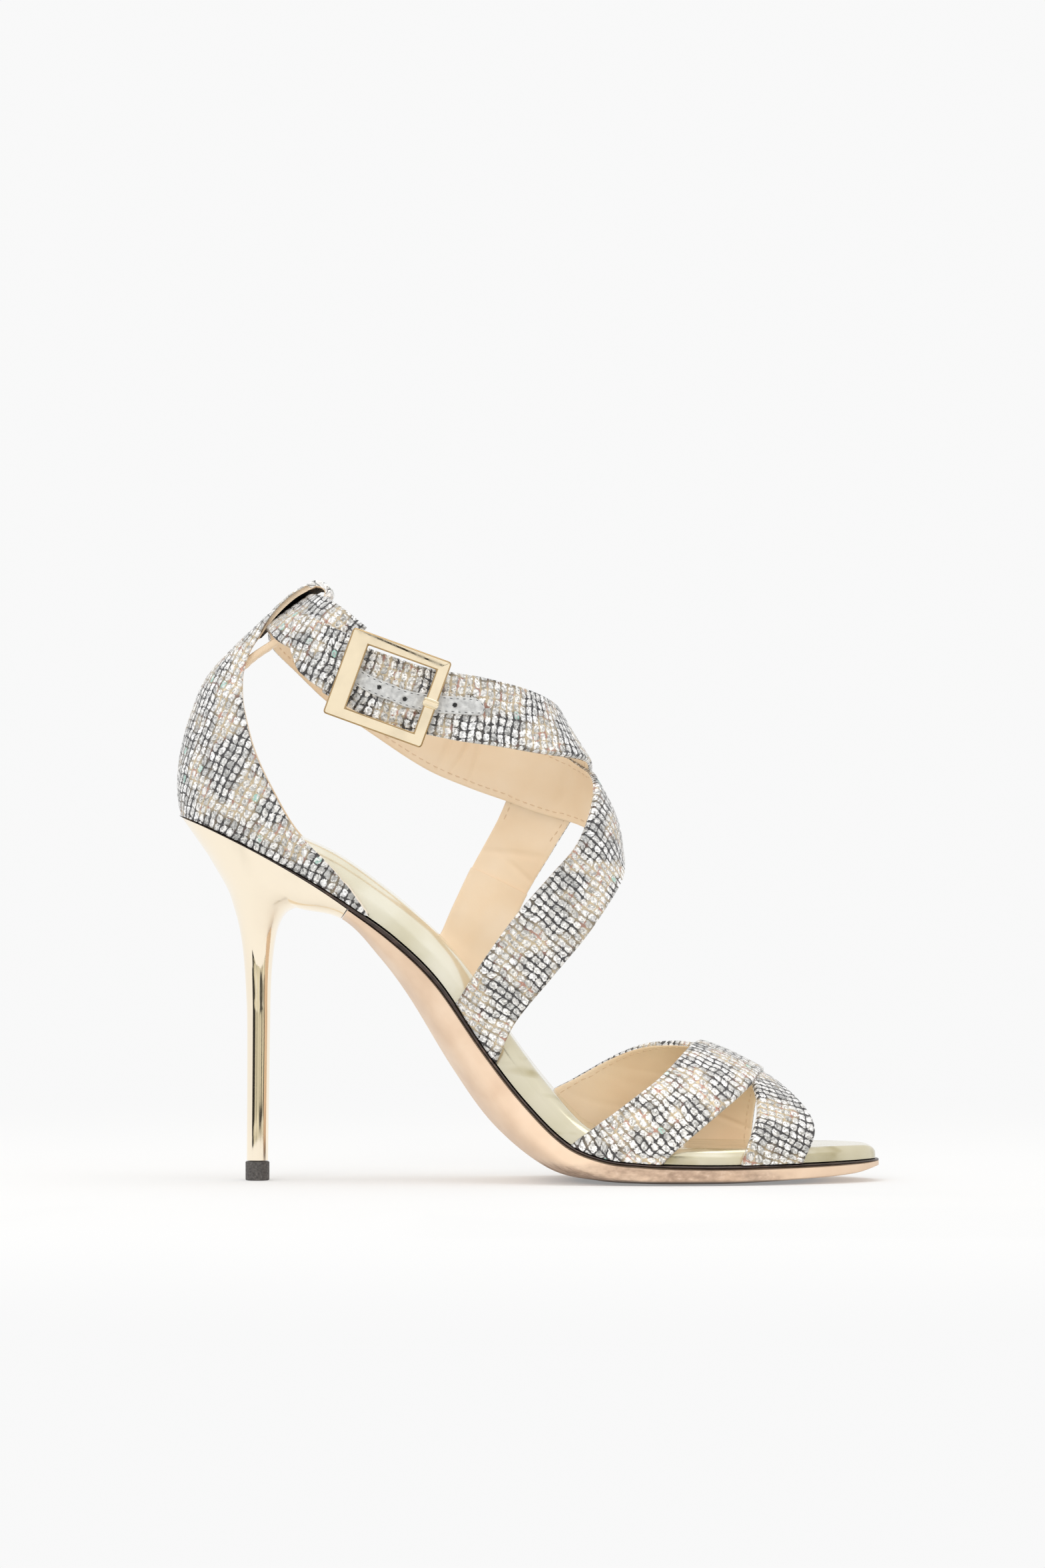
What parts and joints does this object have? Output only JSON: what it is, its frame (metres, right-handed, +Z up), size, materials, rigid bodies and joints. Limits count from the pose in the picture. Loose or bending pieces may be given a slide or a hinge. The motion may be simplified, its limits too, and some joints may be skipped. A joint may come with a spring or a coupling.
{
  "type": "high heel sandal",
  "caption": "Strappy stiletto sandal: crossed toe straps, crossed ankle straps closed by a frame buckle, heel cup with a back loop, arched sole and slim high heel.",
  "frame": {"origin": "middle of the bounding box, on the floor", "axes": "+X to the toe, +Z up, +Y to the inner side of a right foot"},
  "size_m": [0.2134, 0.0781, 0.1824],
  "materials": {
    "sole_leather": "worn nude sole leather",
    "dark_edge": "dark edge paint",
    "gold_leather": "pale gold mirror leather",
    "gold_shell": "pale gold mirror plating",
    "tip_rubber": "matt dark grey",
    "glitter_counter": "coarse glitter cells over leather",
    "glitter_toe": "coarse glitter cells over leather",
    "glitter_ankle": "coarse glitter cells over leather",
    "buckle_metal": "polished pale gold plating",
    "grey_leather": "grained grey leather"
  },
  "bodies": {
    "root": {"outsole": "sole_leather", "rand": "dark_edge", "insole": "gold_leather", "heel": "gold_shell", "heel_tip": "tip_rubber", "counter": "glitter_counter", "toe_straps": "glitter_toe", "ankle_straps": "glitter_ankle", "buckle_frame": "buckle_metal", "buckle_prong": "buckle_metal", "hole_tab": "grey_leather"}
  },
  "joints": []
}
